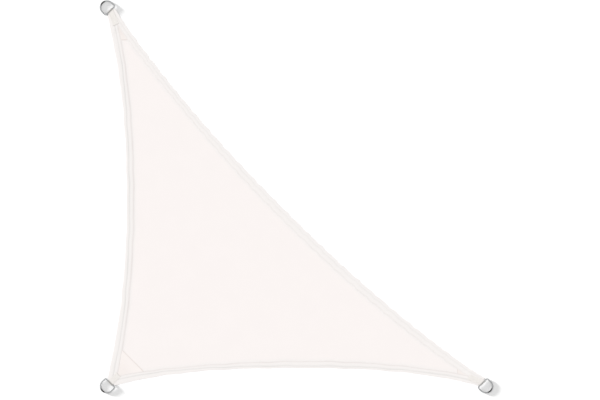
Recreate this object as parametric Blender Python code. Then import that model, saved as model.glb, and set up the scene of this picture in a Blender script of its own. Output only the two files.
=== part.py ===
"""Right-angled triangular shade sail, laid out flat on the ground.

Metres, +Z up. +X and +Y run along the two equal legs, and the right angle is at -X, -Y. The
origin is the centre of the footprint, at ground level.

One cloth with a folded hem, three concave sides and three cut tips. At each corner a patch
reinforces the cloth, and a webbing strap goes round the straight bar of a steel D-ring. The
strap's two tails hold the tip of the cloth between them.
"""

import math
from collections import namedtuple

import bmesh
import bpy
from mathutils import Matrix, Vector

# Driving dimensions
LEG = 1.898  # from ring bar to ring bar along each leg
GAP = 0.0003  # left between pieces that touch

CLOTH = 0.0015
HEM = 0.0030  # thickness of the folded hem
HEM_WIDTH = 0.036
HEM_STEP = 0.0010  # width over which the hem's inner edge comes down to the single cloth

TIP_WIDTH = 0.052  # the cut across each tip, which lies along the ring's bar
TIP_CUT = 0.0065  # from the bar's axis to that cut
FLARE = 0.060  # the sides reach their own curve this far from a tip
PUCKER_START = 0.250  # and their full puckers this far
POINT_EVERY = 0.030  # spacing of the points along a side, at most
POINTS_PER_PUCKER = 8

STRAP = 0.0015
STRAP_WIDTH = 0.030
STRAP_DROP = math.radians(40)  # slope of the upper tail as it comes down from the bar
STRAP_STEPS = 20  # facets round the bar

WIRE = 0.0060
RING_HALF_WIDTH = 0.0335  # to the wire's axis
RING_DEPTH = 0.0570  # from the bar's axis to the axis of the bow's far end
RING_BEND = 0.0075  # bend radius at the ends of the bar
RING_BEND_STEPS = 6
RING_BOW_STEPS = 28
RING_SIDES = 4  # bevel resolution, which gives the wire twelve sides

RAMP_START = 0.006  # the cloth starts to come down this far past the end of the lower tail
RAMP = 0.020  # and is on the ground after this length

# turn: the bar's turn about Z, in degrees, with the cloth on its +Y side. lean: how far the
# strap leans from the bar's normal towards its +X end, in degrees. tail: length of both tails.
# block: from the bar to where the hems of the two sides part. seam: from the bar to the patch's
# seam, measured square to the seam, which is turned by seam_turn degrees from the bar.
Corner = namedtuple("Corner", "name x y turn lean tail block seam seam_turn")
CORNERS = (
    Corner("square", -1, -1, -45, 0, 0.060, 0.054, 0.163, 0),
    Corner("east", 1, -1, 45, -22, 0.078, 0.100, 0.128, 45),
    Corner("north", -1, 1, -135, 22, 0.078, 0.100, 0.150, -45),
)

# The three sides, each from one corner's tip to the next, against the clock. set_in and sag
# pull a side inwards from the straight line between its tips, at its ends and at its middle.
# power: 2 is a parabola, and more is fuller. The sewn hem puckers the side puckers times.
Side = namedtuple("Side", "start end set_in sag power pucker puckers")
SIDES = (
    Side(0, 1, 0.003, 0.087, 2.6, 0.0012, 9),
    Side(1, 2, 0.007, 0.110, 2.2, 0.0016, 32),
    Side(2, 0, 0.000, 0.100, 2.3, 0.0010, 9),
)

LIFT = STRAP + GAP  # the tips of the cloth lie on the lower tails
BAR_HEIGHT = STRAP + GAP + WIRE / 2
PATCH = HEM - CLOTH - GAP  # level with the hem


def corner_matrix(corner):
    """The corner's own frame: origin under the bar, X along it, Y towards the cloth."""
    place = Matrix.Translation((corner.x * LEG / 2, corner.y * LEG / 2, 0))
    return place @ Matrix.Rotation(math.radians(corner.turn), 4, "Z")


def behind_bar(corner, point):
    """How far a point lies from the line of the corner's bar, on the cloth's side."""
    return (corner_matrix(corner).inverted() @ point).y


# The cloth's outline


def side_ends(side):
    """The two points that the side's curve hangs between."""
    start = corner_matrix(CORNERS[side.start]) @ Vector((TIP_WIDTH / 2, TIP_CUT, 0))
    end = corner_matrix(CORNERS[side.end]) @ Vector((-TIP_WIDTH / 2, TIP_CUT, 0))
    return start, end


def side_point(side, t, inset):
    """A point t of the way along a side, inset from its edge."""
    start, end = side_ends(side)
    along = end - start
    from_tip = min(t, 1 - t) * along.length
    inwards = side.set_in * (1 - math.exp(-((from_tip / FLARE) ** 2)))
    inwards += side.sag * (1 - abs(2 * t - 1) ** side.power)
    turns = 2 * math.pi * side.puckers * t
    ripple = math.sin(turns) + 0.6 * math.sin(1.7 * turns + 1)
    inwards += side.pucker * ripple * min(1, from_tip / PUCKER_START) ** 2
    normal = Vector((-along.y, along.x, 0)).normalized()
    return start + along * t + normal * (inwards + inset)


def where_side_meets(side, corner, inset, reach):
    """The t at which an inset side lies reach behind the bar of the corner at one of its ends."""
    near, far = (0.0, 0.5) if corner == CORNERS[side.start] else (1.0, 0.5)
    for _ in range(40):
        middle = (near + far) / 2
        if behind_bar(corner, side_point(side, middle, inset)) < reach:
            near = middle
        else:
            far = middle
    return (near + far) / 2


def outline(inset, reaches, height):
    """The cloth's outline, inset from its sides and cut off at a reach behind each bar.

    Every outline has the same number of points, so that two of them can be joined.
    """
    points = []
    for side in SIDES:
        start, end = side_ends(side)
        steps = max(math.ceil((end - start).length / POINT_EVERY), POINTS_PER_PUCKER * side.puckers)
        first = where_side_meets(side, CORNERS[side.start], inset, reaches[side.start])
        last = where_side_meets(side, CORNERS[side.end], inset, reaches[side.end])
        for step in range(steps + 1):
            point = side_point(side, first + (last - first) * step / steps, inset)
            points.append(point + Vector((0, 0, height)))
    return points


# Pieces


def material(name, color, roughness, metallic=0.0):
    made = bpy.data.materials.new(name)
    made.use_nodes = True
    shader = made.node_tree.nodes["Principled BSDF"]
    shader.inputs["Base Color"].default_value = (*color, 1)
    shader.inputs["Roughness"].default_value = roughness
    shader.inputs["Metallic"].default_value = metallic
    return made


def add_object(name, data, finish):
    made = bpy.data.objects.new(name, data)
    data.materials.append(finish)
    bpy.context.collection.objects.link(made)
    return made


def mesh_from(shape, name):
    """Closes a bmesh's work: triangles, faces outwards, and a mesh."""
    bmesh.ops.triangulate(shape, faces=shape.faces)
    bmesh.ops.recalc_face_normals(shape, faces=shape.faces)
    mesh = bpy.data.meshes.new(name)
    shape.to_mesh(mesh)
    shape.free()
    return mesh


def ramp_start(corner):
    tail_end = corner.tail * math.cos(math.radians(corner.lean))
    tail_end += STRAP_WIDTH / 2 * abs(math.sin(math.radians(corner.lean)))
    return tail_end + RAMP_START


def cut_for_ramps(shape):
    """Cuts the faces where the ramps begin and end, so that the lifted cloth bends there."""
    for corner in CORNERS:
        frame = corner_matrix(corner)
        normal = frame.to_3x3() @ Vector((0, 1, 0))
        for distance in (ramp_start(corner), ramp_start(corner) + RAMP):
            everything = shape.verts[:] + shape.edges[:] + shape.faces[:]
            place = frame @ Vector((0, distance, 0))
            bmesh.ops.bisect_plane(shape, geom=everything, plane_co=place, plane_no=normal)


def lift_tips(shape):
    """Raises the tips onto the straps' lower tails."""
    for corner in CORNERS:
        for vert in shape.verts:
            beyond = behind_bar(corner, vert.co) - ramp_start(corner)
            vert.co.z += LIFT * min(1, max(0, 1 - beyond / RAMP))


def add_cloth(finish):
    cut = [TIP_CUT] * len(CORNERS)
    blocks = [corner.block for corner in CORNERS]
    fold = HEM / 2
    rings = []
    for angle in (-90, -30, 30, 90):
        inset = fold * (1 - math.cos(math.radians(angle)))
        height = fold * (1 + math.sin(math.radians(angle)))
        rings.append(outline(inset, [reach + inset for reach in cut], height))
    rings.append(outline(HEM_WIDTH, blocks, HEM))
    step_reaches = [block + HEM_STEP for block in blocks]
    rings.append(outline(HEM_WIDTH + HEM_STEP, step_reaches, CLOTH))

    shape = bmesh.new()
    loops = [[shape.verts.new(point) for point in ring] for ring in rings]
    for lower, upper in zip(loops, loops[1:]):
        for i in range(len(lower)):
            shape.faces.new((lower[i - 1], lower[i], upper[i], upper[i - 1]))
    shape.faces.new(reversed(loops[0]))
    shape.faces.new(loops[-1])
    cut_for_ramps(shape)
    lift_tips(shape)
    return add_object("sail_cloth", mesh_from(shape, "sail_cloth"), finish)


def add_patch(corner, finish):
    """The part of a corner's patch that shows between the hems."""
    inset = HEM_WIDTH + HEM_STEP + GAP
    reaches = [other.block + HEM_STEP + GAP for other in CORNERS]
    shape = bmesh.new()
    shape.faces.new([shape.verts.new(point) for point in outline(inset, reaches, CLOTH + GAP)])
    frame = corner_matrix(corner)
    turn = math.radians(corner.seam_turn)
    across = frame.to_3x3() @ Vector((-math.sin(turn), math.cos(turn), 0))
    everything = shape.verts[:] + shape.edges[:] + shape.faces[:]
    bmesh.ops.bisect_plane(
        shape,
        geom=everything,
        plane_co=frame.translation + across * corner.seam,
        plane_no=across,
        clear_outer=True,
    )
    cut_for_ramps(shape)
    top = bmesh.ops.extrude_face_region(shape, geom=shape.faces[:])["geom"]
    for vert in top:
        if isinstance(vert, bmesh.types.BMVert):
            vert.co.z += PATCH
    lift_tips(shape)
    name = "patch_" + corner.name
    return add_object(name, mesh_from(shape, name), finish)


def strap_section(end):
    """The strap's section across the bar, as pairs of outer and inner points (distance, height).

    It runs from the end of the lower tail, under and round the bar, to the end of the upper one.
    """
    inner = WIRE / 2 + GAP
    outer = inner + STRAP
    pairs = [((end, 0), (end, STRAP))]
    turn = math.pi + STRAP_DROP
    bar = Vector((0, BAR_HEIGHT))
    for step in range(STRAP_STEPS + 1):
        angle = -math.pi / 2 - turn * step / STRAP_STEPS
        direction = Vector((math.cos(angle), math.sin(angle)))
        pairs.append((bar + direction * outer, bar + direction * inner))
    over_cloth = LIFT + HEM + GAP
    slope = Vector((math.cos(STRAP_DROP), -math.sin(STRAP_DROP)))
    low_outer, low_inner = (
        Vector(last) + slope * ((last[1] - level) / math.sin(STRAP_DROP))
        for last, level in zip(pairs[-1], (over_cloth + STRAP, over_cloth))
    )
    pairs.append((low_outer, low_inner))
    pairs.append(((end, over_cloth + STRAP), (end, over_cloth)))
    return pairs


def add_strap(corner, parent, finish):
    shape = bmesh.new()
    half = STRAP_WIDTH / 2
    pairs = strap_section(corner.tail)
    verts = [[shape.verts.new((-half, *point)) for point in pair] for pair in pairs]
    for (outer_a, inner_a), (outer_b, inner_b) in zip(verts, verts[1:]):
        shape.faces.new((outer_a, inner_a, inner_b, outer_b))
    for vert in bmesh.ops.extrude_face_region(shape, geom=shape.faces[:])["geom"]:
        if isinstance(vert, bmesh.types.BMVert):
            vert.co.x = half
    # The strap leans away from the bar's normal, and its tails are cut square to the strap.
    lean = math.radians(corner.lean)
    for vert in shape.verts:
        across, distance = vert.co.x, vert.co.y
        if math.isclose(distance, corner.tail, abs_tol=GAP):
            vert.co.x = distance * math.sin(lean) + across * math.cos(lean)
            vert.co.y = distance * math.cos(lean) - across * math.sin(lean)
        else:
            vert.co.x = distance * math.tan(lean) + across / math.cos(lean)
    name = "strap_" + corner.name
    strap = add_object(name, mesh_from(shape, name), finish)
    strap.parent = parent
    return strap


def ring_path():
    """The D-ring's centre line, with its bar along X through the origin and its bow at -Y."""
    bow_centre = RING_DEPTH - RING_HALF_WIDTH
    path = []
    for step in range(RING_BEND_STEPS + 1):
        angle = math.pi / 2 * (1 - step / RING_BEND_STEPS)
        x = RING_HALF_WIDTH - RING_BEND + RING_BEND * math.cos(angle)
        path.append((x, -RING_BEND + RING_BEND * math.sin(angle)))
    for step in range(RING_BOW_STEPS + 1):
        angle = -math.pi * step / RING_BOW_STEPS
        x = RING_HALF_WIDTH * math.cos(angle)
        path.append((x, -bow_centre + RING_HALF_WIDTH * math.sin(angle)))
    for x, y in reversed(path[: RING_BEND_STEPS + 1]):
        path.append((-x, y))
    return path


def add_ring(corner, parent, finish):
    curve = bpy.data.curves.new("ring_" + corner.name, "CURVE")
    curve.dimensions = "3D"
    curve.bevel_depth = WIRE / 2
    curve.bevel_resolution = RING_SIDES
    path = ring_path()
    spline = curve.splines.new("POLY")
    spline.points.add(len(path) - 1)
    for point, (x, y) in zip(spline.points, path):
        point.co = (x, y, 0, 1)
    spline.use_cyclic_u = True
    ring = add_object("ring_" + corner.name, curve, finish)
    ring.parent = parent
    ring.location.z = BAR_HEIGHT
    # The bar lies on the strap and the bow on the ground.
    ring.rotation_euler.x = math.asin((BAR_HEIGHT - WIRE / 2) / RING_DEPTH)
    return ring


def main():
    for old in list(bpy.data.objects):
        bpy.data.objects.remove(old)

    cloth = material("cloth", (0.93, 0.89, 0.87), 0.9)
    patch = material("patch_cloth", (0.90, 0.86, 0.84), 0.9)
    webbing = material("webbing", (0.88, 0.86, 0.83), 0.8)
    steel = material("polished_steel", (0.75, 0.75, 0.76), 0.12, 1.0)

    add_cloth(cloth)
    for corner in CORNERS:
        holder = bpy.data.objects.new("corner_" + corner.name, None)
        holder.matrix_world = corner_matrix(corner)
        bpy.context.collection.objects.link(holder)
        add_patch(corner, patch)
        add_strap(corner, holder, webbing)
        add_ring(corner, holder, steel)


main()
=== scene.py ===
"""Looks of a right-angled triangular shade sail, spread out flat on a white studio floor.

Metres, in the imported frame: +X and +Y run along the two equal legs, the right angle is at -X -Y,
and the origin is on the ground under the centre of the footprint. The sections follow the way the
sail is made: cloth, hem sewing, patches, straps, rings. The studio comes last.
"""

import math
from collections import namedtuple

import bmesh
import bpy
import numpy as np
from mathutils import Matrix, Vector
from mathutils.geometry import delaunay_2d_cdt


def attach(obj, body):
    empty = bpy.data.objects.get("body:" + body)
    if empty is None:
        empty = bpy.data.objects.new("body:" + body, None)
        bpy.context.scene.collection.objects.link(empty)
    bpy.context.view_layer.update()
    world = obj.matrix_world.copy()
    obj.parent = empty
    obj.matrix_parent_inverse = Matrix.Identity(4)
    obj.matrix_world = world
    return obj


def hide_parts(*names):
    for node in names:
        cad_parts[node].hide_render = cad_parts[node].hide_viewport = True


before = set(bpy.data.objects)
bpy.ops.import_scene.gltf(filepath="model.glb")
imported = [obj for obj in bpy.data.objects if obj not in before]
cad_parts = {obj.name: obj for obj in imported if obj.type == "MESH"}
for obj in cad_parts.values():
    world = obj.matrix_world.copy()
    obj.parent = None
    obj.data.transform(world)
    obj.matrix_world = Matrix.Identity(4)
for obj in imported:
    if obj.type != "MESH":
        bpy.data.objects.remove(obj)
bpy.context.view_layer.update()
bpy.ops.object.select_all(action="DESELECT")


# Sail cloth: one cut of heavy white polyester with three sides that curve inwards and three blunt
# tips. Its edge is folded over into a hem 30 to 47 mm wide and pressed. Two rows of sewing sink into
# the hem and pucker it a little.

LEG = 1.898  # from ring bar to ring bar along each leg
TIP_WIDTH = 0.052
TIP_CUT = 0.0065  # from the bar's axis to the blunt end of the cloth
FLARE = 0.060  # the sides reach their own curve this far from a tip
PUCKER_START = 0.250  # and their full puckers this far

CLOTH = 0.0015
HEM = 0.0030
FOLD = HEM / 2  # radius of the folded edge
HEM_PAST_ROW = 0.0025  # from the inner row of sewing to the hem's raw edge
HEM_STEP = 0.0012  # width of the drop from the hem to the single cloth
TROUGH = 0.0008  # how deep the sewing sinks where it is firm
UNDER_TROUGH = 0.0005
TROUGH_HALF = 0.0026
SLACK = 0.35  # how much of its firmness the sewing loses where it slackens
CROWN = 0.0003  # how far the hem swells between its two rows
CROWN_HALF = 0.006
FINE_PUCKER = 0.00022  # height of the fine puckers along the sewing
FINE_PUCKER_HALF = 0.016
WAVE = 0.0003  # height of the low waves in the single cloth
WAVE_START = 0.010  # past the hem, where they begin
WAVE_EASE = 0.080  # and how far they take to reach their height
STRAP_WIDTH = 0.030
LIFT = 0.0018  # the tips lie on the straps' lower tails
RAMP_START = 0.006  # past the end of a tail, where the cloth starts to come down
RAMP = 0.020

COLUMN = 0.0065  # spacing of the mesh's points along the hem
GRID = 0.015  # and across the single cloth

# x and y: which way the corner lies. turn: of the ring's bar about Z in degrees, with the cloth on its
# +Y side. lean: of the strap from the bar's normal. tail: how far the strap reaches along its lean.
# seam: from the bar to the patch's seam, which is turned by seam_turn degrees.
Corner = namedtuple("Corner", "name x y turn lean tail seam seam_turn")
CORNERS = (
    Corner("square", -1, -1, turn=-45, lean=0, tail=0.060, seam=0.163, seam_turn=0),
    Corner("east", 1, -1, turn=45, lean=-22, tail=0.078, seam=0.128, seam_turn=45),
    Corner("north", -1, 1, turn=-135, lean=22, tail=0.078, seam=0.150, seam_turn=-45),
)

# Each side runs from one corner to the next, against the clock. It is set in by set_in as soon as it
# is clear of a tip (out, if that is below 0), and sags by sag in the middle, the flatter the higher
# its power. Its edge wavers by pucker, puckers times along it. firm: how hard its sewing is drawn.
# The two sewn rows wander, so they are points of (metres along the side, millimetres from the edge).
Side = namedtuple("Side", "start end set_in sag power pucker puckers firm outer_row inner_row")
SIDES = (
    Side(
        start=0, end=1, set_in=0.002, sag=0.087, power=2.6, pucker=0.0012, puckers=9, firm=0.85,
        outer_row=(
            (0.0, 27), (0.2, 22), (0.45, 14), (0.65, 11), (1.0, 10), (1.45, 11.5), (1.65, 15.5),
            (1.85, 19),
        ),
        inner_row=(
            (0.0, 44), (0.15, 36), (0.3, 30), (0.5, 27), (0.72, 30), (1.0, 34.5), (1.3, 32),
            (1.55, 30.5), (1.75, 34), (1.85, 38),
        ),
    ),
    Side(
        start=1, end=2, set_in=0.0055, sag=0.110, power=2.2, pucker=0.0016, puckers=32, firm=0.32,
        outer_row=(
            (0.0, 12), (0.2, 15.5), (0.9, 16.5), (1.3, 18), (1.7, 16.5), (2.2, 16), (2.67, 16),
        ),
        inner_row=(
            (0.0, 34.5), (0.3, 38), (1.1, 40), (1.5, 40), (1.8, 35.5), (2.05, 32.5), (2.67, 32.5),
        ),
    ),
    Side(
        start=2, end=0, set_in=-0.003, sag=0.100, power=2.3, pucker=0.0010, puckers=9, firm=1.0,
        outer_row=(
            (0.0, 25), (0.18, 26), (0.35, 21.5), (0.52, 15), (0.75, 13), (1.05, 15), (1.3, 16),
            (1.45, 20), (1.6, 24), (1.85, 25),
        ),
        inner_row=(
            (0.0, 40.5), (0.18, 41), (0.3, 37.5), (0.65, 34.5), (1.0, 35.5), (1.3, 35.5), (1.5, 38.5),
            (1.65, 41.5), (1.78, 45),
        ),
    ),
)


def corner_axes(corner):
    """The middle of the corner's ring bar on the ground, the bar's direction, and the way to the cloth."""
    turn = math.radians(corner.turn)
    middle = np.array([corner.x, corner.y]) * LEG / 2
    along = np.array([math.cos(turn), math.sin(turn)])
    inward = np.array([-math.sin(turn), math.cos(turn)])
    return middle, along, inward


def behind_bar(corner, points):
    """How far each point lies from the line of the corner's ring bar, on the cloth's side of it."""
    middle, _, inward = corner_axes(corner)
    return (points - middle) @ inward


def side_axes(side):
    """Start, direction, inward normal and length of the straight line between a side's two tips."""
    middle, along, inward = corner_axes(CORNERS[side.start])
    start = middle + along * TIP_WIDTH / 2 + inward * TIP_CUT
    middle, along, inward = corner_axes(CORNERS[side.end])
    end = middle - along * TIP_WIDTH / 2 + inward * TIP_CUT
    length = np.linalg.norm(end - start)
    direction = (end - start) / length
    return start, direction, np.array([-direction[1], direction[0]]), length


def side_bow(side, t):
    """How far the side lies inwards of that line, t of the way along it. Its puckers are two waves of
    unlike length, so that no two look the same."""
    length = side_axes(side)[3]
    t = np.clip(t, 0, 1)
    from_tip = np.minimum(t, 1 - t) * length
    turns = 2 * math.pi * side.puckers * t
    ripple = np.sin(turns) + 0.6 * np.sin(1.7 * turns + 1)
    ripple *= side.pucker * np.minimum(1, from_tip / PUCKER_START) ** 2
    sag = side.sag * (1 - abs(2 * t - 1) ** side.power)
    return side.set_in * (1 - np.exp(-((from_tip / FLARE) ** 2))) + sag + ripple


def side_points(side, t, inset):
    """Points t of the way along a side, at an inset from its edge."""
    start, direction, normal, length = side_axes(side)
    inwards = side_bow(side, t) + inset
    return start + np.outer(t * length, direction) + np.outer(inwards, normal)


def row_inset(row, along):
    """How far in from the edge a sewn row runs, its corners eased over 12 cm."""
    places, insets_mm = zip(*row)
    shifts = np.linspace(-0.06, 0.06, 7)
    return sum(np.interp(along + shift, places, insets_mm) for shift in shifts) / len(shifts) / 1000


# A place in a side's hem: metres from the edge, along the side, and from the edge to its two rows.
Hem = namedtuple("Hem", "inset along outer inner")


def hems(points):
    """Where each point lies in the hem of each side."""
    found = []
    for side in SIDES:
        start, direction, normal, length = side_axes(side)
        along = (points - start) @ direction
        inset = (points - start) @ normal - side_bow(side, along / length)
        found.append(Hem(inset, along, row_inset(side.outer_row, along), row_inset(side.inner_row, along)))
    return found


def depth(hem):
    """0 at the edge and 1 at the inner row. At a corner the two hems meet where theirs are equal."""
    return hem.inset / hem.inner


def nearest_hem(points):
    """The hem that each point belongs to, the side's number and how far off the next hem is."""
    found = hems(points)
    depths = np.array([depth(hem) for hem in found])
    nearest = depths.argmin(axis=0)
    order = np.sort(depths, axis=0)
    picked = [np.choose(nearest, field) for field in zip(*found)]
    return Hem(*picked), nearest, order[1] - order[0]


def smooth(x):
    """0 below 0, 1 above 1 and an easy curve between them."""
    x = np.clip(x, 0, 1)
    return x * x * (3 - 2 * x)


def tail_end(corner):
    """How far behind the bar a strap's tail reaches, at the far corner of its cut end."""
    lean = math.radians(corner.lean)
    return corner.tail * math.cos(lean) + STRAP_WIDTH / 2 * abs(math.sin(lean))


def lift(points):
    """How far the cloth is raised by the straps' lower tails."""
    raised = np.zeros(len(points))
    for corner in CORNERS:
        past = behind_bar(corner, points) - tail_end(corner) - RAMP_START
        raised = np.maximum(raised, LIFT * (1 - smooth(past / RAMP)))
    return raised


def near_rows(hem):
    """1 in each of the hem's two rows of sewing, and 0 away from it."""
    return np.array([np.exp(-(((hem.inset - row) / TROUGH_HALF) ** 2)) for row in (hem.outer, hem.inner)])


def firmness(hem, nearest):
    """How hard the sewing is drawn at each point, from 0 to 1. It slackens here and there."""
    firm = np.choose(nearest, [side.firm for side in SIDES])
    slack = 0.5 + 0.5 * np.sin(hem.along * 21 + 1.3 * np.sin(hem.along * 9) + 2 * nearest)
    return firm * (1 - SLACK * slack)


def puckers(hem, nearest, apart):
    """The fine puckers that the sewing draws into the hem, fading out where two hems meet."""
    ripple = np.zeros(len(nearest))
    for length, size, phase in ((0.019, 0.5, 0.3), (0.031, 0.7, 1.9), (0.074, 0.8, 4.0)):
        ripple += size * np.sin(2 * math.pi * hem.along / length + phase + 2.1 * nearest)
    middle = (hem.outer + hem.inner) / 2
    near_sewing = np.exp(-(((hem.inset - middle) / FINE_PUCKER_HALF) ** 2))
    return FINE_PUCKER * ripple * near_sewing * smooth(apart / 0.4)


def body_waves(points):
    """Low waves where the single cloth doesn't lie quite flat."""
    x, y = points.T
    wave = np.sin(9 * x + 5 * y + 1.2 * np.sin(4 * y)) + 0.7 * np.sin(15 * y - 8 * x + 2)
    return WAVE * (wave + 1.7)


def cloth_heights(points):
    """Heights of the cloth's upper and lower face."""
    hem, nearest, apart = nearest_hem(points)
    inset = np.min([side.inset for side in hems(points)], axis=0)
    from_tips = np.min([behind_bar(corner, points) for corner in CORNERS], axis=0) - TIP_CUT
    edge = np.clip(np.minimum(inset, from_tips) / FOLD, 0, 1)
    rounded = np.sqrt(1 - (1 - edge) ** 2)
    past = hem.inset - hem.inner - HEM_PAST_ROW
    doubled = 1 - smooth(past / HEM_STEP)
    rows = near_rows(hem).sum(axis=0)
    crown = CROWN * np.exp(-(((hem.inset - (hem.outer + hem.inner) / 2) / CROWN_HALF) ** 2))
    full = CLOTH + (HEM - CLOTH) * doubled + crown + puckers(hem, nearest, apart)
    full -= TROUGH * rows * firmness(hem, nearest)
    raised = lift(points) + body_waves(points) * smooth((past - WAVE_START) / WAVE_EASE)
    top = FOLD + (full - FOLD) * rounded + raised
    return top, FOLD * (1 - rounded) + UNDER_TROUGH * rows * rounded + raised


def add_object(name, mesh, finish):
    """A finished piece: smooth shaded, at the origin, riding on the one body."""
    made = bpy.data.objects.new(name, mesh)
    bpy.context.collection.objects.link(made)
    mesh.materials.append(finish)
    mesh.shade_smooth()
    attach(made, "root")
    return made


def runs(points, kept):
    """The unbroken stretches of a line of points that are kept."""
    places = np.flatnonzero(kept)
    breaks = np.flatnonzero(np.diff(places) > 1) + 1
    return [points[stretch] for stretch in np.split(places, breaks) if len(stretch)]


def sheet_mesh(name, loop, rows, loose, heights):
    """A closed sheet over a flat outline: a triangulated upper face, and its copy below. Its edges
    follow the rows of points, and the loose points lie between them."""
    coords = [Vector(point) for point in np.concatenate([loop, *rows, loose])]
    joins, first = [], len(loop)
    for row in rows:
        joins += [(first + i, first + i + 1) for i in range(len(row) - 1)]
        first += len(row)
    outline = list(range(len(loop)))
    # mode 1 keeps the triangles inside the outline
    found, _, faces, sources, _, _ = delaunay_2d_cdt(coords, joins, [outline], 1, 1e-7)
    points = np.array([tuple(point) for point in found])
    on_rim = np.array([min(source, default=len(loop)) < len(loop) for source in sources])
    top, bottom = heights(points)
    below = np.arange(len(points))
    below[~on_rim] = len(points) + np.arange((~on_rim).sum())
    verts = np.concatenate(
        [
            np.column_stack([points, top]),
            np.column_stack([points[~on_rim], bottom[~on_rim]]),
        ]
    )
    under = [[int(below[i]) for i in reversed(face)] for face in faces]
    mesh = bpy.data.meshes.new(name)
    mesh.from_pydata(verts.tolist(), [], faces + under)
    mesh.validate()
    return mesh


def linear(code):
    """Linear colour, with alpha, from an sRGB hex value."""
    values = [int(code[i : i + 2], 16) / 255 for i in (1, 3, 5)]
    return [v / 12.92 if v <= 0.04045 else ((v + 0.055) / 1.055) ** 2.4 for v in values] + [1]


def node(tree, kind, inputs=None, **settings):
    """Adds a node with its settings. Inputs are values, or the sockets that they are linked to."""
    made = tree.nodes.new(kind)
    for key, value in settings.items():
        setattr(made, key, value)
    for key, value in (inputs or {}).items():
        if isinstance(value, bpy.types.NodeSocket):
            tree.links.new(value, made.inputs[key])
        else:
            made.inputs[key].default_value = value
    return made


def new_material(name, **inputs):
    """A material, its node tree and its Principled shader."""
    made = bpy.data.materials.new(name)
    made.use_nodes = True
    shader = made.node_tree.nodes["Principled BSDF"]
    for key, value in inputs.items():
        shader.inputs[key.replace("_", " ")].default_value = value
    return made, made.node_tree, shader


WEAVE = 0.0017


def add_weave(tree, shader, place):
    """A plain weave in low relief, drawn about three times as coarse as the real thread."""
    scaled = node(tree, "ShaderNodeVectorMath", {0: place, "Scale": 2 * math.pi / WEAVE}, operation="SCALE")
    axes = node(tree, "ShaderNodeSeparateXYZ", {"Vector": scaled.outputs["Vector"]})
    warp = node(tree, "ShaderNodeMath", {0: axes.outputs["X"]}, operation="SINE")
    weft = node(tree, "ShaderNodeMath", {0: axes.outputs["Y"]}, operation="SINE")
    weave = node(tree, "ShaderNodeMath", {0: warp.outputs[0], 1: weft.outputs[0]}, operation="MULTIPLY")
    bump = node(
        tree, "ShaderNodeBump",
        {"Height": weave.outputs[0], "Strength": 0.15, "Distance": 0.0002},
    )
    tree.links.new(bump.outputs["Normal"], shader.inputs["Normal"])


# Woven polyester: dull and faintly uneven in tone, with a weave of 1.7 mm. Its colours, with painted shade
# along the hem and its sewn rows, are painted on the mesh below.
sail_finish, tree, shader = new_material("woven_polyester", Roughness=0.85)
place = node(tree, "ShaderNodeTexCoord").outputs["Object"]
painted = node(tree, "ShaderNodeAttribute", attribute_name="tone").outputs["Color"]
slub = node(tree, "ShaderNodeTexNoise", {"Vector": place, "Scale": 9.0, "Detail": 3.0})
worn = node(tree, "ShaderNodeMapRange", {"Value": slub.outputs["Fac"], "To Min": 0.99, "To Max": 1.012})
tone = node(
    tree, "ShaderNodeVectorMath",
    {0: painted, "Scale": worn.outputs["Result"]}, operation="SCALE",
)
tree.links.new(tone.outputs["Vector"], shader.inputs["Base Color"])
add_weave(tree, shader, place)

# The mesh has rows of points that follow each side, close together where the hem bends, and a plain
# grid over the single cloth. These are millimetres from the edge, from a blunt tip and from a sewn
# row: around either row, past the inner one, and on into the single cloth.
MM = 0.001
EDGE_ROWS = (0.5, 1.5)
TIP_ROWS = (0.5, 1.5, 3.0)
AROUND_ROW = (-4.5, -2, 0, 2)
PAST_ROW = (2.5, 3.7, 6.5)
CLOTH_ROWS = (12, 22, 36)
GRID_ROW = 44
ROW_GAP = 0.0004  # between a row and the end of another
MITRE_GAP = 0.01  # where two hems meet, rows stop short of each other by this share of the hem
TIP_COLUMNS = 30


def hem_lines(outer, inner):
    """How far from the edge the mesh's rows of points run, given the two sewn rows."""
    lines = [step * MM + 0 * outer for step in EDGE_ROWS] + [outer * 0.45]
    lines += [outer + step * MM for step in AROUND_ROW]
    lines += [outer * 0.6 + inner * 0.4]
    lines += [inner + step * MM for step in AROUND_ROW + PAST_ROW + CLOTH_ROWS]
    return lines


def clear_of_next(index, points, gap):
    """Whether points in a side's hem are clear of the next hem, by a share of the hem's width."""
    found = hems(points)
    own = depth(found[index]) + gap
    return np.all([depth(hem) > own for i, hem in enumerate(found) if i != index], axis=0)


loop, rows = [], []
for index, side in enumerate(SIDES):
    length = side_axes(side)[3]
    columns = 2 * round(length / COLUMN / 2)
    t = np.linspace(0, 1, columns + 1)
    outer, inner = row_inset(side.outer_row, t * length), row_inset(side.inner_row, t * length)
    loop.append(side_points(side, t, 0.0))
    lines = hem_lines(outer, inner)
    for number, line in enumerate(lines):
        step = 2 if number >= len(lines) - len(CLOTH_ROWS) else 1
        points = side_points(side, t[::step], line[::step])
        inside = clear_of_next(index, points, MITRE_GAP)
        for corner in CORNERS:
            from_cut = min(line.min(), TIP_ROWS[-1] * MM) + ROW_GAP
            inside &= behind_bar(corner, points) > TIP_CUT + from_cut
        rows += runs(points, inside)
    # the blunt tip that follows this side, and the rows that round its edge
    middle, along, inward = corner_axes(CORNERS[side.end])
    across = np.linspace(-1, 1, TIP_COLUMNS + 1)[1:-1] * TIP_WIDTH / 2
    loop.append(middle + np.outer(across, along) + inward * TIP_CUT)
    for step in TIP_ROWS:
        points = middle + np.outer(across, along) + inward * (TIP_CUT + step * MM)
        from_sides = np.min([hem.inset for hem in hems(points)], axis=0)
        rows += runs(points, from_sides > step * MM + ROW_GAP)
reach = np.arange(-LEG / 2, LEG / 2, GRID)
grid = np.array([(x + (j % 2) * GRID / 2, y) for j, y in enumerate(reach) for x in reach])
past_hems = np.min([hem.inset - hem.inner for hem in hems(grid)], axis=0)
grid = grid[past_hems > GRID_ROW * MM]

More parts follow.
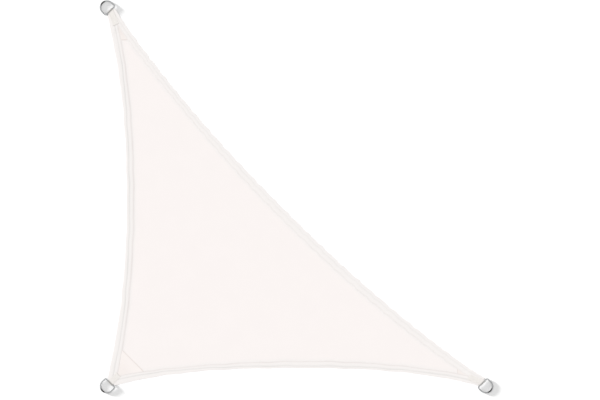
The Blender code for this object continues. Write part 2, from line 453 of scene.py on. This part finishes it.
sail_mesh = sheet_mesh("sail", np.concatenate(loop), rows, grid, cloth_heights)
sail = add_object("sail", sail_mesh, sail_finish)


def blend(base, tone, share):
    """Colours that go from the base to a tone, by each point's share."""
    return base + (np.array(linear(tone)) - base) * share[:, None]


# The single cloth is faintly pink and the doubled hem greyer. The hem's grey runs on a little past its raw
# edge and fades out, painted shade beside its step, and the sewn rows are darker still, painted shade in
# their troughs.
GREY_PAST_ROW = 0.003  # how far past the inner row the hem's tone reaches
HEM_SHADE_EASE = 0.016  # and over how much more it fades out, as painted shade beside the hem's step

flat = np.empty(len(sail_mesh.vertices) * 3, np.float32)
sail_mesh.vertices.foreach_get("co", flat)
hem, nearest, _ = nearest_hem(flat.reshape(-1, 3)[:, :2].astype(float))
# painted shade in the troughs of the two sewn rows, strongest where the sewing is drawn hardest
outer_row_shade, inner_row_shade = near_rows(hem) * firmness(hem, nearest)
# the hem's grey, which past its raw edge fades out as painted shade beside its step
doubled = 1 - smooth((hem.inset - hem.inner - GREY_PAST_ROW) / HEM_SHADE_EASE)
tones = blend(np.array(linear("#f3edeb")), "#efebe9", doubled)
# the two darker row tones are painted shade
tones = blend(blend(tones, "#dcdad8", outer_row_shade), "#e3dcda", inner_row_shade)
tone_layer = sail_mesh.attributes.new("tone", "FLOAT_COLOR", "POINT")
tone_layer.data.foreach_set("color", tones.astype(np.float32).ravel())
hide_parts("sail_cloth")


# Hem sewing: two rows of lockstitch round the whole sail, in a slightly greyer polyester thread.
# Each stitch is a short loop of thread that dives into the cloth at both ends.

STITCH = 0.0055  # pitch
STITCH_SHOWN = 0.86  # the share of it that one stitch covers
THREAD = 0.0009
DIVE = THREAD * 0.5  # how far a stitch's ends go down
ON_HEM = THREAD * 0.15  # from the hem's upper face to the middle of a stitch
ON_CLOTH = THREAD * 0.1  # and from the lower face, or a patch's upper one
SEWN_TO_TIP = 0.008  # the sewing ends this far from a tip
SEWN_TO_MITRE = 0.06  # and by this share of the hem before it meets the next

bpy.ops.mesh.primitive_uv_sphere_add(segments=6, ring_count=5, radius=0.5, rotation=(0, math.pi / 2, 0))
one_stitch = bpy.context.object
one_stitch.scale = (THREAD, THREAD, STITCH * STITCH_SHOWN)
bpy.ops.object.transform_apply(rotation=True, scale=True)
for vert in one_stitch.data.vertices:
    vert.co.z -= DIVE * (abs(vert.co.x) / (STITCH / 2)) ** 2
stitch_points = np.array([vert.co for vert in one_stitch.data.vertices])
stitch_faces = [list(face.vertices) for face in one_stitch.data.polygons]
bpy.data.objects.remove(one_stitch)


def sew(name, stitches, finish):
    """Copies the one stitch to each (x, y, z, heading, size), turned over where the size is negative."""
    verts, faces = [], []
    for x, y, z, heading, size in stitches:
        c, s = math.cos(heading), math.sin(heading)
        turn = np.array([[c, -s], [s, c]])
        flat = (stitch_points[:, :2] * abs(size)) @ turn.T + (x, y)
        first = len(faces) // len(stitch_faces) * len(stitch_points)
        verts.append(np.column_stack([flat, stitch_points[:, 2] * size + z]))
        turned = 1 if size > 0 else -1
        faces += [[first + i for i in face[::turned]] for face in stitch_faces]
    mesh = bpy.data.meshes.new(name)
    mesh.from_pydata(np.concatenate(verts).tolist(), [], faces)
    return add_object(name, mesh, finish)


def row_stitches(points, pitch, heights, size=1.0):
    """Stitches along a line of points: each one's place, height, heading and size."""
    steps = np.linalg.norm(np.diff(points, axis=0), axis=1)
    length = np.concatenate([[0], np.cumsum(steps)])
    middles = np.arange(pitch / 2, length[-1], pitch)
    at = np.column_stack([np.interp(middles, length, points[:, i]) for i in (0, 1)])
    ahead = np.column_stack([np.interp(middles + pitch / 4, length, points[:, i]) for i in (0, 1)])
    heading = np.arctan2(*(ahead - at).T[::-1])
    return np.column_stack([at, heights(at), heading, np.full(len(at), size)])


# Bonded polyester thread, a tone greyer than the cloth, with a slight lustre.
thread_finish, tree, shader = new_material("polyester_thread", Roughness=0.6)
place = node(tree, "ShaderNodeTexCoord").outputs["Object"]
mottle = node(tree, "ShaderNodeTexNoise", {"Vector": place, "Scale": 120.0, "Detail": 2.0})
ramp = node(tree, "ShaderNodeValToRGB", {"Fac": mottle.outputs["Fac"]})
ramp.color_ramp.elements[0].position = 0.3
ramp.color_ramp.elements[0].color = linear("#dfdad6")
ramp.color_ramp.elements[1].position = 0.7
ramp.color_ramp.elements[1].color = linear("#f1ede9")
tree.links.new(ramp.outputs["Color"], shader.inputs["Base Color"])

upper, lower = [], []
for index, side in enumerate(SIDES):
    t = np.linspace(0, 1, 900)
    for row in (side.outer_row, side.inner_row):
        points = side_points(side, t, row_inset(row, t * side_axes(side)[3]))
        inside = clear_of_next(index, points, SEWN_TO_MITRE)
        for corner in CORNERS:
            inside &= behind_bar(corner, points) > TIP_CUT + SEWN_TO_TIP
        points = points[inside]
        upper.append(row_stitches(points, STITCH, lambda at: cloth_heights(at)[0] + ON_HEM))
        lower.append(row_stitches(points, STITCH, lambda at: cloth_heights(at)[1] + ON_CLOTH, -1.0))
hem_sewing = sew("hem_sewing", np.concatenate(upper), thread_finish)
hem_sewing_under = sew("hem_sewing_under", np.concatenate(lower), thread_finish)


# Corner patches: a second layer of the same cloth over each corner. The hems lie over its two outer
# sides, so only the part between them shows, closed by a sewn seam.

PATCH = 0.0009  # thickness
PATCH_GAP = 0.0003  # below it
PATCH_FOLD = 0.0005  # radius of its folded edge at the seam
TUCK = 0.0002  # from the hem's raw edge to where the patch goes under it
TIP_TUCK = 0.0015  # and from where the two hems meet to its point below them
HEM_DIP = 0.0005  # how far it goes down to get under them
HEM_DIP_HALF = 0.0015
SEAM_BACK = 0.0020  # the seam's sewing, from the patch's edge
SEAM_TROUGH = 0.0005
SEAM_TROUGH_HALF = 0.0012
SEAM_SHADE_BACK = 0.0012  # the middle of the painted shade along the seam
SEAM_SHADE_HALF = 0.0022
TIP_DARK = (0.20, 0.22, 0.40)  # how much darker each patch is towards where its hems meet, from 0 to 1
TIP_DARK_REACH = 0.07
LONGEST_ARM = 0.35  # no patch reaches further than this along a hem

# Rows of points inside the patch: metres from its sides under the hems, and from its seam.
ARM_ROWS = (0.0007, 0.0018)
SEAM_ROWS = (0.00015, 0.0005, 0.0012, 0.0020, 0.0028, 0.0040)
PATCH_GRID = 0.004  # spacing of the plain grid between them
GRID_FROM_ARM = 0.0035  # and how far it keeps from either
GRID_FROM_SEAM = 0.0065

# The same cloth as the sail, a little yellower for its second layer. It is darker along the seam, painted
# shade in the seam's trough, and darker towards where its two hems meet.
patch_finish, tree, shader = new_material("woven_polyester_patch", Roughness=0.85)
place = node(tree, "ShaderNodeTexCoord").outputs["Object"]
slub = node(tree, "ShaderNodeTexNoise", {"Vector": place, "Scale": 22.0, "Detail": 3.0})
tone = node(
    tree, "ShaderNodeMix",
    {"Factor": slub.outputs["Fac"], "A": linear("#f1eae7"), "B": linear("#f5eeeb")}, data_type="RGBA",
)
# painted shade along the seam, and a darker tone towards where the hems meet
seam_shade_and_tip_dark = node(tree, "ShaderNodeAttribute", attribute_name="seam_shade_and_tip_dark").outputs["Fac"]
darkened_tone = node(
    tree, "ShaderNodeMix",
    {"Factor": seam_shade_and_tip_dark, "A": tone.outputs["Result"], "B": linear("#e1d9d4")}, data_type="RGBA",
)
tree.links.new(darkened_tone.outputs["Result"], shader.inputs["Base Color"])
add_weave(tree, shader, place)


def seam_axes(corner):
    """The middle of the corner's bar and the direction square to its seam."""
    middle, along, inward = corner_axes(corner)
    turn = math.radians(corner.seam_turn)
    return middle, math.cos(turn) * inward - math.sin(turn) * along


def patch_insets(corner_index, points):
    """How far each point lies inside the patch's three sides, the seam last."""
    corner = CORNERS[corner_index]
    sides = [hem for side, hem in zip(SIDES, hems(points)) if corner_index in (side.start, side.end)]
    middle, to_seam = seam_axes(corner)
    seam = corner.seam - (points - middle) @ to_seam
    return np.array([hem.inset - hem.inner - HEM_PAST_ROW - TUCK for hem in sides] + [seam])


def patch_heights(corner_index, points):
    """Heights of the patch's upper and lower face. It dips to go under the hems."""
    *under_hem, from_seam = patch_insets(corner_index, points)
    dip = HEM_DIP * np.exp(-((np.min(under_hem, axis=0) / HEM_DIP_HALF) ** 2))
    rounded = np.sqrt(1 - (1 - np.clip(from_seam / PATCH_FOLD, 0, 1)) ** 2)
    sunk = SEAM_TROUGH * np.exp(-(((from_seam - SEAM_BACK) / SEAM_TROUGH_HALF) ** 2))
    base = CLOTH + PATCH_GAP + lift(points) - dip
    return base + PATCH * (1 + rounded) / 2 - sunk * rounded, base + PATCH * (1 - rounded) / 2


patches, patch_seams, patch_sewing = [], [], []
for corner_index, corner in enumerate(CORNERS):
    middle, to_seam = seam_axes(corner)
    _, along, inward = corner_axes(corner)
    # its two arms under the hems, from where they meet to the seam, and rows of points inside them
    arms, rows = [], []
    for side in SIDES:
        if corner_index not in (side.start, side.end):
            continue
        length = side_axes(side)[3]
        t = np.linspace(0, LONGEST_ARM / length, 1400)
        t = t if side.start == corner_index else 1 - t
        raw_edge = row_inset(side.inner_row, t * length) + HEM_PAST_ROW + TUCK
        for inset in (0.0, *ARM_ROWS):
            points = side_points(side, t, raw_edge + inset)
            *under_hem, from_seam = patch_insets(corner_index, points)
            points = points[(np.min(under_hem, axis=0) > inset - 0.00001) & (from_seam > -0.00001)]
            # about one point in twelve is enough, with both ends
            points = points[np.linspace(0, len(points) - 1, len(points) // 12 + 2).round().astype(int)]
            if inset == 0:
                arms.append(points)
            else:
                rows.append(points[1:-1])
    seam = arms[0][-1] + np.outer(np.linspace(0, 1, 60), arms[1][-1] - arms[0][-1])
    meeting = arms[0][0]
    to_middle = (arms[0][3] + arms[1][3]) / 2 - meeting
    point = meeting - to_middle / np.linalg.norm(to_middle) * TIP_TUCK
    loop = np.concatenate([arms[0][1:], seam[1:-1], arms[1][:0:-1], [point]])
    out, back = arms[0][-1] - meeting, arms[1][-1] - meeting
    if out[0] * back[1] < out[1] * back[0]:
        loop = loop[::-1]
    for inset in SEAM_ROWS:
        points = seam - to_seam * inset
        from_arms = patch_insets(corner_index, points)[:2].min(axis=0)
        rows += runs(points, from_arms > 0.0001)
    span = np.arange(-0.25, 0.25, PATCH_GRID)
    grid = np.array([middle + x * along + y * inward for x in span for y in span])
    insets = patch_insets(corner_index, grid)
    grid = grid[(insets[:2].min(axis=0) > GRID_FROM_ARM) & (insets[2] > GRID_FROM_SEAM)]
    patch_mesh = sheet_mesh("patch", loop, rows, grid, lambda points: patch_heights(corner_index, points))
    flat = np.empty(len(patch_mesh.vertices) * 3, np.float32)
    patch_mesh.vertices.foreach_get("co", flat)
    points = flat.reshape(-1, 3)[:, :2].astype(float)
    from_seam = patch_insets(corner_index, points)[2]
    from_tip = np.linalg.norm(points - meeting, axis=1)
    # painted shade in the seam's trough, and darker towards where the two hems meet
    seam_shade_and_tip_dark = np.exp(-(((from_seam - SEAM_SHADE_BACK) / SEAM_SHADE_HALF) ** 2))
    seam_shade_and_tip_dark = np.maximum(seam_shade_and_tip_dark, TIP_DARK[corner_index] * np.exp(-((from_tip / TIP_DARK_REACH) ** 4)))
    patch_mesh.attributes.new("seam_shade_and_tip_dark", "FLOAT", "POINT").data.foreach_set("value", seam_shade_and_tip_dark.astype(np.float32))
    patch = add_object("patch_" + corner.name + "_cloth", patch_mesh, patch_finish)
    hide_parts("patch_" + corner.name)
    patches.append(patch)
    line = np.array([arms[0][-1], arms[1][-1]]) - to_seam * SEAM_BACK
    patch_seams.append(line)
    patch_sewing.append(
        row_stitches(line, STITCH, lambda at: patch_heights(corner_index, at)[0] + ON_CLOTH)
    )

# the square corner's seam is sewn on over the left hem, from 1 mm past the patch to the outer row
end, other_end = patch_seams[0][::-1]
over_hem = end + np.outer([0.001, 0.023], (end - other_end) / np.linalg.norm(end - other_end))
patch_sewing.append(row_stitches(over_hem, STITCH, lambda at: cloth_heights(at)[0] + ON_HEM))
seam_sewing = sew("seam_sewing", np.concatenate(patch_sewing), thread_finish)


# Straps: 30 mm polyester webbing. One tail lies under the tip of the cloth, the webbing turns round
# the ring's bar, and the other tail lies on top. Both tails are sewn through the tip.

STRAP = 0.0015  # thickness
STRAP_GAP = 0.0003  # between it and what it lies on
SELVEDGE = 0.0012  # width of its rounded edge
WIRE = 0.0060  # thickness of the ring's wire
BAR_HEIGHT = STRAP + STRAP_GAP + WIRE / 2
LOOP = 0.012  # the webbing is square to the bar until this far behind it
DROP = math.radians(40)  # slope of the upper tail as it comes down from the bar
RIB = 0.0024  # the herringbone's ribs, across the webbing
PICK = 0.0020  # and its threads, along it
BAR_LINE_HALF = 0.0042  # how far from the bar's middle the fold is painted grey
STRAP_STITCH = 0.0042  # pitch of its sewing
ON_STRAP = 0.0001  # from the strap's upper face to the middle of a stitch
THREAD_OVER = 0.0003  # how much higher a line of sewing lies that crosses another

# Polyester webbing with a herringbone, drawn about twice as coarse as the real one so that it shows.
# The top of its fold is painted grey over the bar's middle, painted shade that draws a dark line along the
# bar.
web_finish, tree, shader = new_material("polyester_webbing", Roughness=0.75)
cloth_map = node(tree, "ShaderNodeUVMap", uv_map="strap").outputs["UV"]
axes = node(tree, "ShaderNodeSeparateXYZ", {"Vector": cloth_map})
ribs = node(tree, "ShaderNodeMath", {0: axes.outputs["Y"], 1: 2 * math.pi / RIB}, operation="MULTIPLY")
rib = node(tree, "ShaderNodeMath", {0: ribs.outputs[0]}, operation="SINE")
picks = node(tree, "ShaderNodeMath", {0: axes.outputs["X"], 1: 2 * math.pi / PICK}, operation="MULTIPLY")
shifted = node(tree, "ShaderNodeMath", {0: picks.outputs[0], 1: rib.outputs[0]}, operation="ADD")
pick = node(tree, "ShaderNodeMath", {0: shifted.outputs[0]}, operation="SINE")
relief = node(tree, "ShaderNodeMath", {0: pick.outputs[0], 1: rib.outputs[0]}, operation="ADD")
bump = node(tree, "ShaderNodeBump", {"Height": relief.outputs[0], "Strength": 0.5, "Distance": 0.00025})
tree.links.new(bump.outputs["Normal"], shader.inputs["Normal"])
# painted shade on the top of the fold, unevenly grey over the middle of the bar
bar_line_shade = node(tree, "ShaderNodeAttribute", attribute_name="bar_line_shade").outputs["Fac"]
bar_line_noise = node(tree, "ShaderNodeTexNoise", {"Vector": cloth_map, "Scale": 260.0, "Detail": 3.0})
patchy = node(tree, "ShaderNodeMapRange", {"Value": bar_line_noise.outputs["Fac"], "To Min": 0.75, "To Max": 1.15})
patchy_bar_line_shade = node(tree, "ShaderNodeMath", {0: bar_line_shade, 1: patchy.outputs["Result"]}, operation="MULTIPLY")
tone = node(
    tree, "ShaderNodeMix",
    {"Factor": patchy_bar_line_shade.outputs[0], "A": linear("#efebe7"), "B": linear("#918f8d")}, data_type="RGBA",
)
tree.links.new(tone.outputs["Result"], shader.inputs["Base Color"])


def strap_line(reach):
    """The middle of the webbing from the end of the lower tail to the end of the upper one, seen from
    its edge: distances behind the bar and heights."""
    # the lower tail, on the ground
    line = [(reach * f, STRAP / 2) for f in np.linspace(1, 0.06, 14)]
    # the loop round the bar
    radius = WIRE / 2 + STRAP_GAP + STRAP / 2
    for angle in np.linspace(-math.pi / 2, -3 * math.pi / 2 - DROP, 30):
        line.append((radius * math.cos(angle), BAR_HEIGHT + radius * math.sin(angle)))
    # the upper tail, down from the bar and along the tip of the cloth
    level = LIFT + HEM + STRAP_GAP + STRAP / 2
    x, z = line[-1]
    landing = x + (z - level) / math.tan(DROP)
    for f in (0.25, 0.5, 0.75):
        line.append((x + (landing - x) * f, z + (level - z) * f))
    # the bend where it lands is eased over 3 mm
    line.append((landing + 0.0008, level + 0.00005))
    flat_from = landing + 0.003
    line += [(flat_from + (reach - flat_from) * f, level) for f in np.linspace(0, 1, 14)]
    return np.array(line)


across_steps = np.array([-1, -0.97, -0.9, -0.6, -0.3, 0, 0.3, 0.6, 0.9, 0.97, 1]) * STRAP_WIDTH / 2
edge = (STRAP_WIDTH / 2 - abs(across_steps)) / SELVEDGE
half_thick = STRAP / 2 * np.sqrt(1 - (1 - np.clip(edge, 0, 1)) ** 2)

straps, strap_sewing = [], []
for corner in CORNERS:
    middle, along, inward = corner_axes(corner)
    lean = math.radians(corner.lean)
    reach = corner.tail * math.cos(lean)
    line = strap_line(reach)
    steps = np.gradient(line, axis=0)
    normals = np.column_stack([-steps[:, 1], steps[:, 0]])
    normals /= np.linalg.norm(normals, axis=1)[:, None]
    run = np.concatenate([[0], np.cumsum(np.linalg.norm(np.diff(line, axis=0), axis=1))])

    def on_strap(a, distance, at=None):
        """Where a point of the webbing lies, a across it and so far behind the bar. The webbing is
        square to the bar in its loop, leans over as it leaves it, and is cut square to itself."""
        turn = lean * smooth(((distance if at is None else at) - LOOP) / (reach - LOOP))
        x = distance * math.tan(lean) + a * math.cos(turn) / math.cos(lean - turn)
        y = distance - a * math.sin(turn) / math.cos(lean - turn)
        return middle + x * along + y * inward

    section = [(a, h) for a, h in zip(across_steps, half_thick)]
    section += [(a, -h) for a, h in zip(across_steps[-2:0:-1], half_thick[-2:0:-1])]
    shape = bmesh.new()
    uv = shape.loops.layers.uv.new("strap")
    bar_line_shade = shape.verts.layers.float.new("bar_line_shade")
    cuts = []
    for point, normal, length in zip(line, normals, run):
        cut = []
        for a, h in section:
            distance, height = point - normal * h
            flat = on_strap(a, distance, point[0])
            cut.append(shape.verts.new((*flat, height)))
        cuts.append(cut)
    for i, (before, after) in enumerate(zip(cuts, cuts[1:])):
        for j in range(len(section)):
            corners = (before[j - 1], before[j], after[j], after[j - 1])
            face = shape.faces.new(corners)
            for loop_corner, k, m in zip(face.loops, (j - 1, j, j, j - 1), (i, i, i + 1, i + 1)):
                loop_corner[uv].uv = (run[m], section[k][0])
    shape.faces.new(reversed(cuts[0]))
    shape.faces.new(cuts[-1])
    for cut, point in zip(cuts, line):
        for vert in cut:
            # painted shade on the top of the fold, over the middle of the bar
            vert[bar_line_shade] = math.exp(-((point[0] / BAR_LINE_HALF) ** 2)) * (point[1] > BAR_HEIGHT)
    bmesh.ops.recalc_face_normals(shape, faces=shape.faces)
    mesh = bpy.data.meshes.new("strap")
    shape.to_mesh(mesh)
    shape.free()
    strap = add_object("strap_" + corner.name + "_webbing", mesh, web_finish)
    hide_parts("strap_" + corner.name)
    straps.append(strap)

    # a box with a cross, sewn through both tails and the cloth between them, from 16 mm behind the
    # bar to 10 mm short of the cut ends. The second line of the cross goes over the first.
    top = LIFT + HEM + STRAP_GAP + STRAP + ON_STRAP
    near, far, half = 0.016, reach - 0.010, STRAP_WIDTH / 2 - 0.004
    box = [(-half, near), (half, near), (half, far), (-half, far), (-half, near)]
    lines = [(box[i : i + 2], top) for i in range(4)]
    lines += [([(-half, near), (half, far)], top), ([(half, near), (-half, far)], top + THREAD_OVER)]
    for ends, level in lines:
        points = np.array([on_strap(*end) for end in ends])
        strap_sewing.append(row_stitches(points, STRAP_STITCH, lambda at: np.full(len(at), level)))
strap_sewing_piece = sew("strap_sewing", np.concatenate(strap_sewing), thread_finish)


# D-rings: 6 mm stainless steel wire, bent to a D, butt welded at the far end of the bow and
# tumbled to a polish. The bar lies in the strap and the bow rests on the ground.

RING_HALF_WIDTH = 0.0335  # this, the depth and the bends' radius are to the wire's axis
RING_DEPTH = 0.0570
RING_BEND = 0.0075
BOW_CENTRE = RING_DEPTH - RING_HALF_WIDTH
WELD_BEAD = 0.06  # how much thicker the wire is at the weld
WELD_BEAD_HALF = 0.0022
WELD_DARK_HALF = 0.016  # how far along the bow the heat has darkened it

# Stainless steel, polished: a grey metal that mirrors the studio softly. The weld's heat leaves a
# darker stretch on the bow.
steel_finish, tree, shader = new_material("polished_stainless_steel", Metallic=1.0, Roughness=0.16)
weld = node(tree, "ShaderNodeAttribute", attribute_name="weld").outputs["Fac"]
tone = node(
    tree, "ShaderNodeMix",
    {"Factor": weld, "A": linear("#babbbc"), "B": linear("#2a2827")}, data_type="RGBA",
)
tree.links.new(tone.outputs["Result"], shader.inputs["Base Color"])
place = node(tree, "ShaderNodeTexCoord").outputs["Object"]
scuff = node(tree, "ShaderNodeTexNoise", {"Vector": place, "Scale": 900.0, "Detail": 4.0})
rough = node(tree, "ShaderNodeMapRange", {"Value": scuff.outputs["Fac"], "To Min": 0.10, "To Max": 0.24})
tree.links.new(rough.outputs["Result"], shader.inputs["Roughness"])

bpy.ops.mesh.primitive_circle_add(vertices=24, radius=WIRE / 2, rotation=(0, math.pi / 2, 0))
one_ring = bpy.context.object
bpy.ops.object.transform_apply(rotation=True)
bpy.ops.object.mode_set(mode="EDIT")
bpy.ops.mesh.select_all(action="SELECT")
straight = RING_HALF_WIDTH - RING_BEND


def draw_out(x, y):
    """Draws the end of the wire on in a straight line."""
    bpy.ops.mesh.extrude_region_move(TRANSFORM_OT_translate={"value": (x, y, 0)})


def bend(x, y, angle, steps):
    """Bends it on round the point (x, y)."""
    bpy.ops.mesh.spin(steps=steps, angle=angle, center=(x, y, 0), axis=(0, 0, 1))


draw_out(straight, 0)
bend(straight, -RING_BEND, math.pi / 2, 10)
draw_out(0, RING_BEND - BOW_CENTRE)
bend(0, -BOW_CENTRE, math.pi, 48)
draw_out(0, BOW_CENTRE - RING_BEND)
bend(-straight, -RING_BEND, math.pi / 2, 10)
draw_out(straight, 0)
bpy.ops.mesh.select_all(action="SELECT")
bpy.ops.mesh.remove_doubles(threshold=0.00005)
bpy.ops.mesh.normals_make_consistent(inside=False)
bpy.ops.object.mode_set(mode="OBJECT")
weld_values = []
for vert in one_ring.data.vertices:
    bow_angle = math.atan2(vert.co.x, -(vert.co.y + BOW_CENTRE))
    off_weld = abs(bow_angle) * RING_HALF_WIDTH
    on_bow = vert.co.y < -BOW_CENTRE
    weld_values.append(on_bow * math.exp(-((off_weld / WELD_DARK_HALF) ** 4)))
    bead = on_bow * WELD_BEAD * math.exp(-((off_weld / WELD_BEAD_HALF) ** 2))
    # the bead fades out below, where the bow lies on the ground
    bead *= smooth(1 + vert.co.z / (WIRE / 2))
    axis = Vector((math.sin(bow_angle), -math.cos(bow_angle), 0)) * RING_HALF_WIDTH
    axis.y -= BOW_CENTRE
    vert.co += (vert.co - axis) * bead
one_ring.data.attributes.new("weld", "FLOAT", "POINT").data.foreach_set("value", weld_values)

rings = []
for corner in CORNERS:
    middle, _, _ = corner_axes(corner)
    tilt = math.asin((BAR_HEIGHT - WIRE / 2) / RING_DEPTH)
    placed = Matrix.Translation((*middle, BAR_HEIGHT)) @ Matrix.Rotation(math.radians(corner.turn), 4, "Z")
    mesh = one_ring.data.copy()
    mesh.transform(placed @ Matrix.Rotation(tilt, 4, "X"))
    ring = add_object("d_ring_" + corner.name, mesh, steel_finish)
    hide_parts("ring_" + corner.name)
    rings.append(ring)
bpy.data.objects.remove(one_ring)


# Studio: a white floor, an even white sky, one soft lamp from the upper left, and under it a low lamp
# that lights the floor and the rings alone. Only the rings block it, so they throw a soft shadow to
# the lower right.

# a hair below the ground, so that no underside coincides with it
bpy.ops.mesh.primitive_plane_add(size=60, location=(0, 0, -0.0002))
floor = bpy.context.object
floor.name = "floor"
floor_finish, tree, shader = new_material("white_floor", Roughness=1.0)
shader.inputs["Base Color"].default_value = linear("#d8d8d8")
shader.inputs["Specular IOR Level"].default_value = 0.0
floor.data.materials.append(floor_finish)

world = bpy.data.worlds.new("studio")
bpy.context.scene.world = world
world.use_nodes = True
tree = world.node_tree
path = node(tree, "ShaderNodeLightPath")
direction = node(tree, "ShaderNodeTexCoord").outputs["Generated"]
height = node(tree, "ShaderNodeSeparateXYZ", {"Vector": direction}).outputs["Z"]
# what polished steel mirrors is darker than the sky that lights the cloth, and brightest 38 degrees up
mirrored = node(tree, "ShaderNodeValToRGB", {"Fac": height})
mirrored.color_ramp.interpolation = "EASE"
for position, level in ((0.0, 0.26), (0.25, 0.40), (0.62, 0.80), (1.0, 0.34)):
    if position in (0.0, 1.0):
        stop = mirrored.color_ramp.elements[round(position)]
    else:
        stop = mirrored.color_ramp.elements.new(position)
    stop.color = (level, level, level * 1.01, 1)
seen = node(
    tree, "ShaderNodeMix",
    {"Factor": path.outputs["Is Camera Ray"], "A": (0.80, 0.80, 0.80, 1), "B": (1, 1, 1, 1)},
    data_type="RGBA",
)
sky = node(
    tree, "ShaderNodeMix",
    {"Factor": path.outputs["Is Glossy Ray"], "A": seen.outputs["Result"], "B": mirrored.outputs["Color"]},
    data_type="RGBA",
)
tree.links.new(sky.outputs["Result"], tree.nodes["Background"].inputs["Color"])


def add_sun(name, azimuth, elevation, strength, spread):
    """A lamp far away, with its angles in degrees. Polished steel doesn't mirror it."""
    lamp = bpy.data.lights.new(name, "SUN")
    lamp.energy = strength
    lamp.angle = math.radians(spread)
    made = bpy.data.objects.new(name, lamp)
    bpy.context.collection.objects.link(made)
    made.rotation_euler = (math.radians(90 - elevation), 0, math.radians(azimuth))
    made.visible_glossy = False
    return made


add_sun("main_lamp", azimuth=-118, elevation=55, strength=1.1, spread=25)
low_lamp = add_sun("low_lamp", azimuth=-116, elevation=7.4, strength=13.4, spread=7)

lit = bpy.data.collections.new("lit_by_low_lamp")
lit.objects.link(floor)
casting = bpy.data.collections.new("casting_in_low_lamp")
for ring in rings:
    casting.objects.link(ring)
    lit.objects.link(ring)
low_lamp.light_linking.receiver_collection = lit
low_lamp.light_linking.blocker_collection = casting

# The camera looks straight down through a long lens. The photo's frame is 3.06 m wide, and its
# centre is a little right of and below the sail's.
FRAME_WIDTH = 3.06
FRAME_CENTRE = (0.0184, -0.0163)
camera_data = bpy.data.cameras.new("camera")
camera_data.lens = 200
camera_data.clip_end = 200
camera = bpy.data.objects.new("camera", camera_data)
bpy.context.collection.objects.link(camera)
camera.location = (*FRAME_CENTRE, FRAME_WIDTH * camera_data.lens / camera_data.sensor_width)
bpy.context.scene.camera = camera
bpy.context.scene.view_settings.view_transform = "Standard"
